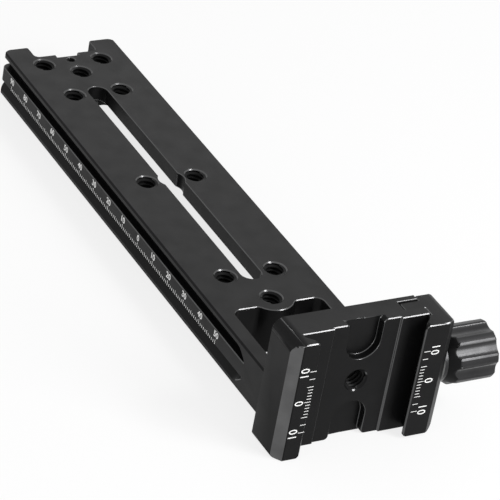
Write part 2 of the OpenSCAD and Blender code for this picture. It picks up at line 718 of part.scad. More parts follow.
// A coil spring about +Z, of wire of the given diameter, as one tube with flat ends
module coil_spring(length, diameter, wire, coils) {
    rings_per_coil = 12;
    sides = 6;
    count = coils * rings_per_coil;
    rise = length - wire - 2 * seat_gap;
    mean = (diameter - wire) / 2;
    function ring(i) = let (turn = 360 * i / rings_per_coil, z = wire / 2 + seat_gap + rise * i / count)
        [for (k = [0:sides - 1]) let (a = 360 * k / sides, r = mean + wire / 2 * cos(a))
            [r * cos(turn), r * sin(turn), z + wire / 2 * sin(a)]];
    function corner(i, k) = i * sides + k % sides;
    walls = [for (i = [0:count - 1], k = [0:sides - 1]) each [
        [corner(i, k), corner(i, k + 1), corner(i + 1, k + 1)],
        [corner(i, k), corner(i + 1, k + 1), corner(i + 1, k)]]];
    caps = [[for (k = [sides - 1:-1:0]) corner(0, k)], [for (k = [0:sides - 1]) corner(count, k)]];
    polyhedron(points = [for (i = [0:count]) each ring(i)], faces = concat(walls, caps));
}

// A spring between the bottom of its bore and the tip of the tongue
module return_spring(side) {
    color(steel) translate([clamp_x + tongue_back + tongue_thickness / 2, spring_seat_y,
        clamp_mid + side * spring_spread]) rotate([-90, 0, 0])
        coil_spring(tongue_tip_y - spring_seat_y, spring_diameter, spring_wire, spring_coils);
}

module return_spring_upper() { return_spring(1); }
module return_spring_lower() { return_spring(-1); }

rail();
clamp_base();
mounting_screw_left();
mounting_screw_right();
lock_washer_left();
lock_washer_right();
dowel_pin_left();
dowel_pin_right();
thread_bush();
moving_jaw();
jaw_bush();
friction_washer();
clamp_knob();
lead_screw();
thrust_washer();
retaining_ring();
knob_grub_screw_back();
knob_grub_screw_under();
return_spring_upper();
return_spring_lower();
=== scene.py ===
"""Looks of a vertical nodal rail: a slotted double dovetail bar with an upright screw clamp.

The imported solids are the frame. Each sub-assembly is a class that dresses its own solids with a
bevelled skin of the same shape, and adds what the solids leave out: the camera threads, the stop
screw's thread and the filled scales. The other solids keep their own meshes and get a finish.
Sizes in the classes are millimetres in the part's own axes, and become metres when a mesh is
made. The axes start at the middle of the hole pattern on the rail's top face, with the clamp at
+X and the knob at +Y.
"""

import logging
import math
from collections.abc import Callable, Sequence
from dataclasses import dataclass, field
from enum import Enum

import bmesh
import bpy
import numpy as np
from mathutils import Matrix, Vector


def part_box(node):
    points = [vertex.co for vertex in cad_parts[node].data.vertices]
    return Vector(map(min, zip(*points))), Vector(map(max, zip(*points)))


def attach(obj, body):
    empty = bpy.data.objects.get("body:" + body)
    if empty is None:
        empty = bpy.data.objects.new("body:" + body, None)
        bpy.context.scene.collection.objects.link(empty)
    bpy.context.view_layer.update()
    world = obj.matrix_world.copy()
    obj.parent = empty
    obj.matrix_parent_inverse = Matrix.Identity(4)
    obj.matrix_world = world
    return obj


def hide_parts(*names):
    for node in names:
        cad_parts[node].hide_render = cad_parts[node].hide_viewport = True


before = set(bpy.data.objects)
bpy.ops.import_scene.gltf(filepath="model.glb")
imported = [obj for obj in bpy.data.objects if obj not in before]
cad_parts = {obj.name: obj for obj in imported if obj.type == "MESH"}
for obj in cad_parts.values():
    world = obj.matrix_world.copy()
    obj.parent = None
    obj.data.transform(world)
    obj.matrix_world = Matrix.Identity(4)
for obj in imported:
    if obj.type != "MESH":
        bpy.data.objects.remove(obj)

LOG = logging.getLogger("nodal_rail")
MM = 0.001
Array = np.ndarray
Colour = tuple[float, float, float]
Triple = tuple[float, float, float]


class Body(Enum):
    """The bodies of the frame that pieces ride on."""

    RAIL = "rail"
    JAW = "jaw"
    KNOB = "knob"


class Slot(Enum):
    """The record's material slots, and NONE for a piece that has none."""

    BLACK = "black_anodised"
    NONE = ""


class Axis(Enum):
    """The direction that a turned piece's own Z axis takes in the part."""

    X = "x"
    Y = "y"
    Z = "z"

    def turn(self, points: Array) -> Array:
        """Turns points whose axis is Z so that it lies along this axis.

        Args:
            points: Points with x, y and z in the last place.

        Returns:
            The turned points.
        """
        x, y, z = points[..., 0], points[..., 1], points[..., 2]
        order = {Axis.X: (z, y, -x), Axis.Y: (x, z, -y), Axis.Z: (x, y, z)}[self]
        return np.stack(order, axis=-1)


# --- Finishes -----------------------------------------------------------------------------------


class NodeSheet:
    """A node tree whose nodes are added and linked by name.

    Attributes:
        tree: The tree of a material or of the world.
    """

    def __init__(self, owner: bpy.types.Material | bpy.types.World) -> None:
        """Empties the owner's tree.

        Args:
            owner: What the nodes belong to.
        """
        owner.use_nodes = True
        self.tree = owner.node_tree
        self.tree.nodes.clear()

    def put(self, socket: bpy.types.NodeSocket, value: object) -> None:
        """Links an output socket to an input, or sets the input's own value.

        Args:
            socket: The input.
            value: An output socket or a value.
        """
        if isinstance(value, bpy.types.NodeSocket):
            self.tree.links.new(value, socket)
        else:
            socket.default_value = value

    def add(self, kind: str, settings: dict | None = None, **sockets: object) -> bpy.types.Node:
        """Adds one node.

        Args:
            kind: Blender's type name of the node.
            settings: The node's own properties by name.
            **sockets: Input values or output sockets to link, by input name with _ for a space.

        Returns:
            The new node.
        """
        node = self.tree.nodes.new(kind)
        for key, value in (settings or {}).items():
            setattr(node, key, value)
        for key, value in sockets.items():
            self.put(node.inputs[key.replace("_", " ")], value)
        return node

    def reckon(self, operation: str, first: object, second: object) -> bpy.types.NodeSocket:
        """Adds a sum of two values, whose inputs have one name and so go by number.

        Args:
            operation: Blender's name of the operation.
            first: A value or an output socket.
            second: A value or an output socket.

        Returns:
            The result.
        """
        node = self.add("ShaderNodeMath", {"operation": operation})
        self.put(node.inputs[0], first)
        self.put(node.inputs[1], second)
        return node.outputs[0]

    def seen_directly(self, *more: str) -> bpy.types.NodeSocket:
        """Tells camera rays, glossy rays and more kinds from the rays that light other things.

        Args:
            *more: Further outputs of the Light Path node.

        Returns:
            1 for these rays and 0 for all others.
        """
        path = self.add("ShaderNodeLightPath").outputs
        seen = self.reckon("MAXIMUM", path["Is Camera Ray"], path["Is Glossy Ray"])
        for kind in more:
            seen = self.reckon("MAXIMUM", seen, path[kind])
        return seen


class FinishSheet(NodeSheet):
    """The shader nodes of one material.

    Attributes:
        material: The material.
        shader: Its Principled shader.
        output: Its output node.
        place: The place on the object, which the textures read.
    """

    MIX_SHARE, MIX_FIRST, MIX_SECOND, MIX_COLOUR = 0, 6, 7, 2
    NOISE_LOW, NOISE_HIGH = 0.3, 0.7

    def __init__(self, name: str) -> None:
        """Starts a material whose only nodes are its output and one Principled shader.

        Args:
            name: The material's name.
        """
        self.material = bpy.data.materials.new(name)
        super().__init__(self.material)
        self.shader = self.add("ShaderNodeBsdfPrincipled")
        self.output = self.add("ShaderNodeOutputMaterial", Surface=self.shader.outputs["BSDF"])
        self.place = self.add("ShaderNodeTexCoord").outputs["Object"]

    def noise(self, size_mm: float, detail: float = 2.0) -> bpy.types.NodeSocket:
        """Adds soft noise in object space whose lumps are about size_mm across.

        Args:
            size_mm: The width of the lumps.
            detail: How many finer layers are added.

        Returns:
            The noise value, around 0.5.
        """
        scale = 1.0 / (size_mm * MM)
        node = self.add("ShaderNodeTexNoise", Vector=self.place, Scale=scale, Detail=detail)
        return node.outputs["Fac"]

    def spread(self, value: bpy.types.NodeSocket, low: float, high: float) -> bpy.types.NodeSocket:
        """Stretches a noise value so that NOISE_LOW to NOISE_HIGH becomes low to high.

        Args:
            value: The noise.
            low: The result at NOISE_LOW.
            high: The result at NOISE_HIGH.

        Returns:
            The stretched value.
        """
        ends = {"From_Min": self.NOISE_LOW, "From_Max": self.NOISE_HIGH}
        node = self.add("ShaderNodeMapRange", Value=value, To_Min=low, To_Max=high, **ends)
        return node.outputs["Result"]

    def blend(
        self, share: bpy.types.NodeSocket, first: Colour, second: Colour
    ) -> bpy.types.NodeSocket:
        """Mixes two colours by a share.

        Args:
            share: 0 for the first colour and 1 for the second.
            first: The first colour.
            second: The second colour.

        Returns:
            The mixed colour.
        """
        node = self.add("ShaderNodeMix", {"data_type": "RGBA"})
        self.put(node.inputs[self.MIX_SHARE], share)
        self.put(node.inputs[self.MIX_FIRST], (*first, 1.0))
        self.put(node.inputs[self.MIX_SECOND], (*second, 1.0))
        return node.outputs[self.MIX_COLOUR]

    def dent(self, height: bpy.types.NodeSocket, depth_mm: float) -> None:
        """Bumps the surface by a height map.

        Args:
            height: The height, from 0 to 1.
            depth_mm: The depth of the bumps.
        """
        bump = self.add("ShaderNodeBump", Height=height, Strength=1.0, Distance=depth_mm * MM)
        self.put(self.shader.inputs["Normal"], bump.outputs["Normal"])


@dataclass(frozen=True)
class Finish:
    """A surface finish: two tones mixed by handling marks, with a fine grain in its gloss.

    Attributes:
        name: The material's name.
        tone: The main colour, linear.
        worn: The colour of the handling marks, linear.
        metallic: 0 for paint and plastic and 1 for bare metal.
        roughness: The middle of the roughness.
        roughness_spread: How far the roughness strays from its middle.
        grain_mm: The width of the grain.
        grain_depth_mm: The depth of the grain.
        marks_mm: The width of the handling marks.
        specular: The strength of the gloss on a finish that isn't metal.
    """

    name: str
    tone: Colour
    worn: Colour
    metallic: float = 0.0
    roughness: float = 0.45
    roughness_spread: float = 0.05
    grain_mm: float = 0.12
    grain_depth_mm: float = 0.002
    marks_mm: float = 7.0
    specular: float = 0.5

    def sheet(self) -> FinishSheet:
        """Builds the finish's nodes.

        Returns:
            The sheet, to which a finish of a more special kind adds its own nodes.
        """
        sheet = FinishSheet(self.name)
        marks = sheet.noise(self.marks_mm, detail=4.0)
        grain = sheet.noise(self.grain_mm)
        low, high = self.roughness - self.roughness_spread, self.roughness + self.roughness_spread
        settings = {
            "Base Color": sheet.blend(sheet.spread(marks, 0.0, 1.0), self.tone, self.worn),
            "Roughness": sheet.spread(marks, high, low),
            "Metallic": self.metallic,
            "Specular IOR Level": self.specular,
        }
        for key, value in settings.items():
            sheet.put(sheet.shader.inputs[key], value)
        sheet.dent(grain, self.grain_depth_mm)
        return sheet

    def material(self) -> bpy.types.Material:
        """Returns the finish's material, made once."""
        made = bpy.data.materials.get(self.name)
        return made or self.sheet().material


@dataclass(frozen=True)
class TurnedFinish(Finish):
    """A finish cut on a lathe: the grain is fine rings about an axis, from a wave of radius.

    Blender's wave turns by 20 radians for each unit of radius times scale, so the height goes as
    the sine of radius / ring_mm, and one ring is 2 pi times ring_mm wide.

    Attributes:
        centre_mm: A point on the axis.
        ring_mm: The radius over which the wave turns by one radian.
        axis: The axis of the lathe.
    """

    WAVE_TURN = 20.0

    centre_mm: Triple = (107.0, 0.0, 4.5)
    ring_mm: float = 0.22
    axis: Axis = Axis.Y

    def sheet(self) -> FinishSheet:
        """Builds the finish's nodes with rings in place of grain.

        Returns:
            The sheet.
        """
        sheet = super().sheet()
        centre = [-c * MM for c in self.centre_mm]
        moved = sheet.add("ShaderNodeMapping", Vector=sheet.place, Location=centre)
        wave = sheet.add(
            "ShaderNodeTexWave",
            {"wave_type": "RINGS", "rings_direction": self.axis.name},
            Vector=moved.outputs["Vector"],
            Scale=1.0 / (self.WAVE_TURN * self.ring_mm * MM),
            Distortion=0.4,
            Detail=2.0,
        )
        sheet.dent(wave.outputs["Fac"], self.grain_depth_mm)
        return sheet


BLACK = Finish(
    "satin_black", (0.0040, 0.0040, 0.0042), (0.0054, 0.0054, 0.0056), roughness=0.36, specular=0.10
)
# A lighter metallic copy of the satin black for the chamfers, so that they glint: painted
# highlights along the edges.
BLACK_EDGE_HIGHLIGHT = Finish(
    "satin_black_edge_highlight",
    (0.10, 0.10, 0.101),
    (0.075, 0.075, 0.076),
    metallic=0.95,
    roughness=0.26,
    grain_mm=0.5,
)
# A lighter metallic copy of the satin black for the fixed jaw's broad slanted face: a painted
# reflection of the bright surroundings.
BLACK_BEVEL_REFLECTION = Finish(
    "satin_black_bevel_reflection",
    (0.115, 0.115, 0.116),
    (0.085, 0.085, 0.086),
    metallic=0.9,
    roughness=0.36,
)
BLACK_TURNED = TurnedFinish(
    "satin_black_turned",
    (0.030, 0.030, 0.031),
    (0.042, 0.042, 0.043),
    metallic=0.9,
    roughness=0.32,
)
# A lighter metallic tone for the chamfers at the knob's flute crests and ends: painted highlights.
KNOB_EDGE_HIGHLIGHT = Finish(
    "knob_edge_highlight", (0.16, 0.16, 0.162), (0.12, 0.12, 0.121), metallic=0.95, roughness=0.26
)
# Steel darkened to near black for the thrust washer, which sits in the shade behind the knob:
# painted shade.
SHADED_STEEL = TurnedFinish(
    "steel_painted_shade", (0.045, 0.045, 0.046), (0.035, 0.035, 0.036), metallic=1.0, roughness=0.3
)
STEEL = TurnedFinish(
    "turned_steel", (0.56, 0.56, 0.57), (0.42, 0.42, 0.43), metallic=1.0, roughness=0.28
)
BLACK_STEEL = Finish(
    "oiled_black_steel", (0.022, 0.021, 0.021), (0.05, 0.045, 0.04), metallic=0.6, roughness=0.38
)
SPRING_STEEL = Finish(
    "spring_wire", (0.45, 0.45, 0.46), (0.30, 0.29, 0.28), metallic=1.0, roughness=0.3
)
BRONZE = TurnedFinish(
    "turned_bronze", (0.58, 0.36, 0.16), (0.38, 0.22, 0.10), metallic=1.0, roughness=0.32
)
# Nylon darkened to dark grey for the friction washer, which sits in the shade behind the knob:
# painted shade.
SHADED_NYLON = Finish(
    "nylon_painted_shade", (0.07, 0.07, 0.068), (0.055, 0.055, 0.054), roughness=0.5, grain_mm=0.3
)
FILL = Finish(
    "scale_fill", (0.86, 0.86, 0.85), (0.76, 0.76, 0.75), roughness=0.6, grain_mm=0.1
)


# --- Shapes -------------------------------------------------------------------------------------


@dataclass
class Patch:
    """A surface of four sided faces.

    Attributes:
        points: The vertices, in millimetres.
        faces: The four corners of each face.
    """

    points: Array
    faces: Array

    @classmethod
    def lattice(cls, points: Array, seam_rise: int = 0) -> "Patch":
        """Joins a grid of points, whose columns close on themselves, with four sided faces.

        The face at row i and column j has the corners (i, j), (i, j+1), (i+1, j+1), (i+1, j). At
        the seam, the last column joins the first one seam_rise rows further on.

        Args:
            points: The grid, as rows by columns by 3.
            seam_rise: How many rows a helix climbs in one turn, or 0 for a closed ring.

        Returns:
            The patch.
        """
        rows, columns = points.shape[:2]
        index = np.arange(rows * columns).reshape(rows, columns)
        wide = np.concatenate([index[: rows - seam_rise], index[seam_rise:, :1]], axis=1)
        corners = [wide[:-1, :-1], wide[:-1, 1:], wide[1:, 1:], wide[1:, :-1]]
        return cls(points.reshape(-1, 3), np.stack(corners, axis=-1).reshape(-1, 4))

    def moved(self, offset: Sequence[float]) -> "Patch":
        """Moves the patch.

        Args:
            offset: How far it moves, in millimetres.

        Returns:
            The moved patch.
        """
        return Patch(self.points + np.array(offset), self.faces)

    @classmethod
    def join(cls, patches: Sequence["Patch"]) -> "Patch":
        """Puts several patches into one.

        Args:
            patches: The patches.

        Returns:
            One patch with all their points and faces.
        """
        starts = np.cumsum([0] + [len(p.points) for p in patches[:-1]])
        faces = [p.faces + start for p, start in zip(patches, starts)]
        return cls(np.concatenate([p.points for p in patches]), np.concatenate(faces))


def angles(count: int) -> Array:
    """Works out angles that go once round.

    Args:
        count: How many.

    Returns:
        The angles, in radians.
    """
    return np.arange(count) * (2.0 * np.pi / count)


def revolve(radius: Array, height: Array, turn: Array) -> Array:
    """Works out the grid (r cos a, r sin a, z) of a turned surface.

    Args:
        radius: The radius of each row, or of each row and column.
        height: The height of each row, or of each row and column.
        turn: The angle a of each column.

    Returns:
        The grid, as rows by columns by 3.
    """
    radius = radius if radius.ndim == 2 else radius[:, None]
    height = height if height.ndim == 2 else height[:, None]
    r, z, a = np.broadcast_arrays(radius, height, turn[None, :])
    return np.stack([r * np.cos(a), r * np.sin(a), z], axis=-1)


@dataclass(frozen=True)
class ThreadForm:
    """A 60 degree thread with flat crests and roots.

    Attributes:
        outer: The thread's outer diameter.
        inner: The thread's inner diameter.
        pitch: The rise in one turn.
    """

    outer: float
    inner: float
    pitch: float

    @property
    def knots(self) -> Array:
        """The turning points of the profile: share of the pitch, and share of the depth."""
        return np.array([[0.0, 0.0], [0.12, 0.0], [0.45, 1.0], [0.67, 1.0], [1.0, 0.0]])

    def rows(self, turns: int) -> tuple[Array, Array]:
        """Gives the height and the depth of each row of a helix of so many turns.

        Args:
            turns: The number of turns.

        Returns:
            The heights in millimetres, and the depths from 0 at the wall to 1 at the crest.
        """
        knots = self.knots[:-1]
        share = (np.arange(turns)[:, None] + knots[None, :, 0]).ravel()
        return share * self.pitch, np.tile(knots[:, 1], turns)


CAMERA_THREAD = ThreadForm(outer=6.36, inner=5.1, pitch=1.27)
STOP_THREAD = ThreadForm(outer=2.58, inner=2.2, pitch=0.5)


def threaded_liner(form: ThreadForm, low: float, high: float, columns: int = 56) -> Patch:
    """Works out a thin liner that carries an internal thread, about the Z axis.

    Row k of the helix is at height z = k-th height + pitch * a / 2 pi, at the radius
    r = outer - depth * (outer - inner), all halved. Rows past low or high are brought back to
    those planes at the outer radius, which makes the thread's flat ends.

    Args:
        form: The thread.
        low: The height of the lower end.
        high: The height of the upper end.
        columns: The number of steps round the thread.

    Returns:
        The closed liner.
    """
    turns = int(math.ceil((high - low) / form.pitch)) + 3
    heights, depths = form.rows(turns)
    turn = angles(columns)
    z = low - 1.5 * form.pitch + heights[:, None] + form.pitch * turn[None, :] / (2.0 * np.pi)
    wall = form.outer / 2.0
    r = np.broadcast_to(wall - depths[:, None] * (form.outer - form.inner) / 2.0, z.shape).copy()
    outside = (z <= low) | (z >= high)
    r[outside] = wall
    z = np.clip(z, low, high)
    thread = Patch.lattice(revolve(r, z, turn), seam_rise=len(form.knots) - 1)
    back = Patch.lattice(revolve(np.array([wall, wall]), np.array([high, low]), turn))
    return Patch.join([thread, back])


@dataclass
class Piece:
    """One finished object, built from a patch or from a copy of a solid.

    A skin's faces have up to three finishes, by material index: 0 for the finish, 1 for the edge
    and 2 for the band. The edge's lighter tone paints highlights on the chamfers, and the band's
    tone paints a reflection on the clamp base and shade on the knob.

    Attributes:
        name: The object's name.
        body: The body that it moves with.
        slot: The record's material slot; not used.
        finish: The finish of its faces.
        edge: The finish of its chamfers, if these have another: a lighter tone that paints
            highlights on them.
        band: The finish of the faces that in_band picks, if these have another: a tone that paints
            a reflection on the clamp base and shade on the knob.
        in_band: Tells whether a face, in metres, belongs to the band.
    """

    MERGE = 2e-7
    FLAT_DEGREES = 0.4
    SHARP_DEGREES = 28.0

    name: str
    body: Body
    slot: Slot
    finish: Finish
    edge: Finish | None = None
    band: Finish | None = None
    in_band: Callable[[bmesh.types.BMFace], bool] = lambda face: False

    def place(self, mesh: bpy.types.Mesh) -> bpy.types.Object:
        """Makes the object at the origin, gives it its finish and lets it ride.

        Args:
            mesh: The mesh, in metres and in the part's axes.

        Returns:
            The object.
        """
        which = np.zeros(len(mesh.polygons), dtype=np.int32)
        mesh.polygons.foreach_get("material_index", which)
        mesh.materials.clear()
        mesh.materials.append(self.finish.material())
        for extra in (self.edge, self.band):
            if extra is not None:
                mesh.materials.append(extra.material())
        mesh.polygons.foreach_set("material_index", which)
        piece = bpy.data.objects.new(self.name, mesh)
        bpy.context.scene.collection.objects.link(piece)
        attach(piece, self.body.value)
        LOG.info("%s: %d vertices", self.name, len(mesh.vertices))
        return piece

    @staticmethod
    def shade(mesh: bpy.types.Mesh, sharp_degrees: float) -> None:
        """Shades a mesh smooth, apart from its sharp edges.

        Args:
            mesh: The mesh.
            sharp_degrees: Edges sharper than this stay sharp.
        """
        mesh.polygons.foreach_set("use_smooth", np.ones(len(mesh.polygons), dtype=bool))
        mesh.set_sharp_from_angle(angle=math.radians(sharp_degrees))

    def from_patch(self, patch: Patch, smooth_angle: float = 50.0) -> bpy.types.Object:
        """Builds the piece from a patch, whose doubled points are merged first.

        Args:
            patch: The patch, in millimetres.
            smooth_angle: Edges sharper than this, in degrees, stay sharp.

        Returns:
            The object.
        """
        mesh = bpy.data.meshes.new(self.name)
        mesh.vertices.add(len(patch.points))
        mesh.vertices.foreach_set("co", (patch.points * MM).astype(np.float32).ravel())
        mesh.loops.add(patch.faces.size)
        mesh.loops.foreach_set("vertex_index", patch.faces.astype(np.int32).ravel())
        mesh.polygons.add(len(patch.faces))
        mesh.polygons.foreach_set("loop_start", np.arange(0, patch.faces.size, 4, dtype=np.int32))
        mesh.update(calc_edges=True)
        mesh.validate()
        work = bmesh.new()
        work.from_mesh(mesh)
        bmesh.ops.remove_doubles(work, verts=work.verts, dist=self.MERGE / 2.0)
        bmesh.ops.dissolve_degenerate(work, edges=work.edges, dist=self.MERGE / 2.0)
        bmesh.ops.recalc_face_normals(work, faces=work.faces)
        work.to_mesh(mesh)
        work.free()
        self.shade(mesh, smooth_angle)
        return self.place(mesh)

    @staticmethod
    def keep_within(mesh: bpy.types.Mesh, low: Vector, high: Vector) -> None:
        """Brings points that a chamfer pushed past a pointed corner back to the solid's box.

        Args:
            mesh: The mesh.
            low: The box's lowest corner.
            high: The box's highest corner.
        """
        points = np.empty(len(mesh.vertices) * 3, dtype=np.float32)
        mesh.vertices.foreach_get("co", points)
        points = np.clip(points.reshape(-1, 3), np.array(low), np.array(high)).astype(np.float32)
        mesh.vertices.foreach_set("co", points.ravel())
        mesh.update()

    @classmethod
    def is_chamfer(
        cls, face: bmesh.types.BMFace, widest: float = 0.5, sharp_share: float = 0.33
    ) -> bool:
        """Tells whether a face is a narrow strip between sharp edges.

        Its mean width is twice its area over its perimeter.

        Args:
            face: The face.
            widest: The greatest mean width of a chamfer, in millimetres.
            sharp_share: The least share of the outline that is a sharp edge.

        Returns:
            True for a chamfer.
        """
        around = face.calc_perimeter()
        if 2.0 * face.calc_area() > widest * MM * around:
            return False
        limit = math.radians(cls.SHARP_DEGREES)
        sharp = sum(e.calc_length() for e in face.edges if e.calc_face_angle(0.0) > limit)
        return sharp > sharp_share * around

    def from_solid(self, node: str, bevel: float, corner: float = 50.0) -> bpy.types.Object:
        """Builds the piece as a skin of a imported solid, with its sharp edges bevelled.

        The solid's loose triangles are merged, and those in one plane become one face, so that
        the bevel only meets real edges.

        Args:
            node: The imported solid, which the piece stands for.
            bevel: The width of the bevel.
            corner: Edges sharper than this, in degrees, are bevelled.

        Returns:
            The object.
        """
        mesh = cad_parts[node].data.copy()
        mesh.name = self.name
        work = bmesh.new()
        work.from_mesh(mesh)
        bmesh.ops.remove_doubles(work, verts=work.verts, dist=self.MERGE)
        bmesh.ops.dissolve_limit(
            work,
            angle_limit=math.radians(self.FLAT_DEGREES),
            verts=work.verts,
            edges=work.edges,
            use_dissolve_boundaries=False,
        )
        limit = math.radians(corner)
        joints = (e for e in work.edges if len(e.link_faces) == 2)
        bmesh.ops.bevel(
            work,
            geom=[e for e in joints if e.calc_face_angle(0.0) > limit],
            offset=bevel * MM,
            offset_type="OFFSET",
            segments=1,
            profile=0.5,
            affect="EDGES",
            clamp_overlap=False,
            loop_slide=True,
        )
        for face in work.faces:
            # Chamfers take the edge finish as painted highlights, and band faces take the band
            # finish as a painted reflection on the clamp base and painted shade on the knob.
            face.material_index = 1 if self.edge and self.is_chamfer(face) else 0
            if self.band and self.in_band(face):
                face.material_index = 2
        work.to_mesh(mesh)
        work.free()
        self.keep_within(mesh, *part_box(node))
        self.shade(mesh, self.SHARP_DEGREES)
        piece = self.place(mesh)
        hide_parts(node)
        even = piece.modifiers.new("flat_faces_stay_flat", "WEIGHTED_NORMAL")
        even.keep_sharp, even.weight = True, 100
        return piece


# --- Scales -------------------------------------------------------------------------------------


@dataclass
class Engraving:
    """Filled marks on a flat face: plates that stand a hair proud of the metal.

    Attributes:
        origin: The scale's zero on the face.
        right: The direction in which the text runs.
        up: The direction of the text's upper side.
        proud: How far the marks stand out of the face.
        sunk: How far they reach into it.
        boldness: How far the figures' outlines are pushed outwards, as a share of their size.
        patches: The bars so far.
        text: The points and faces of the numbers so far.
    """

    BOLD = 0.022
    FINER_SPACING = 4.0

    origin: Triple
    right: Triple
    up: Triple
    proud: float = 0.012
    sunk: float = 0.05
    boldness: float = BOLD
    patches: list[Patch] = field(default_factory=list)
    text: list[tuple[Array, list[list[int]]]] = field(default_factory=list)

    @property
    def axes(self) -> Array:
        """The rows right, up and outward of the face."""
        right, up = np.array(self.right, float), np.array(self.up, float)
        return np.stack([right, up, np.cross(right, up)])

    def bars(self, along: Array, low: Array, high: Array, width: float) -> None:
        """Adds one upright bar for each place along the scale, as a box of 8 corners.

        Args:
            along: The middle of each bar, to the right of the origin.
            low: The height of each bar's lower end.
            high: The height of each bar's upper end.
            width: The width of all bars.
        """
        corner = np.array([[-1, 0], [1, 0], [1, 1], [-1, 1]], float)
        across = along[:, None] + corner[None, :, 0] * width / 2.0
        height = low[:, None] + corner[None, :, 1] * (high - low)[:, None]
        flat = np.stack([across, height], axis=-1)
        layers = [
            np.concatenate([flat, np.full_like(flat[..., :1], level)], axis=-1)
            for level in (-self.sunk, self.proud)
        ]
        boxes = np.concatenate(layers, axis=1)
        around = [[i, (i + 1) % 4, (i + 1) % 4 + 4, i + 4] for i in range(4)]
        faces = np.array([[3, 2, 1, 0], [4, 5, 6, 7], *around])
        index = faces[None] + 8 * np.arange(len(along))[:, None, None]
        self.patches.append(Patch(boxes.reshape(-1, 3), index.reshape(-1, 4)))

    def number(
        self, value: int, across: float, height: float, size: float, squeeze: float = 1.0
    ) -> None:
        """Adds a number, centred at a place on the face.

        The finer the figures, the wider they are spaced, by FINER_SPACING times what their
        outlines lose against BOLD.

        Args:
            value: The number.
            across: The middle of the number, to the right of the origin.
            height: The middle of the number, above the origin.
            size: The height of its figures.
            squeeze: The width of its figures as a share of the font's own.
        """
        curve = bpy.data.curves.new(f"number_{value}", "FONT")
        curve.body, curve.align_x, curve.align_y = str(value), "CENTER", "CENTER"
        curve.extrude, curve.resolution_u = 0.5, 3
        curve.offset = self.boldness
        curve.space_character = 1.0 + self.FINER_SPACING * (self.BOLD - self.boldness)
        holder = bpy.data.objects.new(curve.name, curve)
        bpy.context.scene.collection.objects.link(holder)
        graph = bpy.context.evaluated_depsgraph_get()
        mesh = bpy.data.meshes.new_from_object(holder.evaluated_get(graph))
        points = np.empty(len(mesh.vertices) * 3)
        mesh.vertices.foreach_get("co", points)
        points = points.reshape(-1, 3)
        span = np.ptp(points[:, 1])
        middle = (points.max(0) + points.min(0)) / 2.0
        scale = np.array([squeeze * size / span, size / span, self.proud + self.sunk])
        points = (points - middle) * scale
        points += np.array([across, height, (self.proud - self.sunk) / 2.0])
        self.text.append((points, [list(p.vertices) for p in mesh.polygons]))
        bpy.data.objects.remove(holder)
        bpy.data.curves.remove(curve)
        bpy.data.meshes.remove(mesh)

    def build(self, name: str, body: Body) -> bpy.types.Object:
        """Turns all marks into one piece on the face.

        Args:
            name: The piece's name.
            body: The body that it moves with.

        Returns:
            The object.
        """
        marks = Patch.join(self.patches)
        points, faces = [marks.points], marks.faces.tolist()
        start = len(marks.points)
        for glyph, polygons in self.text:
            points.append(glyph)
            faces += [[v + start for v in polygon] for polygon in polygons]
            start += len(glyph)
        world = np.concatenate(points) @ self.axes + np.array(self.origin, float)
        mesh = bpy.data.meshes.new(name)
        mesh.from_pydata((world * MM).tolist(), [], faces)
        mesh.update()
        work = bmesh.new()
        work.from_mesh(mesh)
        bmesh.ops.remove_doubles(work, verts=work.verts, dist=Piece.MERGE)
        work.to_mesh(mesh)
        work.free()
        return Piece(name, body, Slot.NONE, FILL).place(mesh)


# --- Sub-assemblies -----------------------------------------------------------------------------


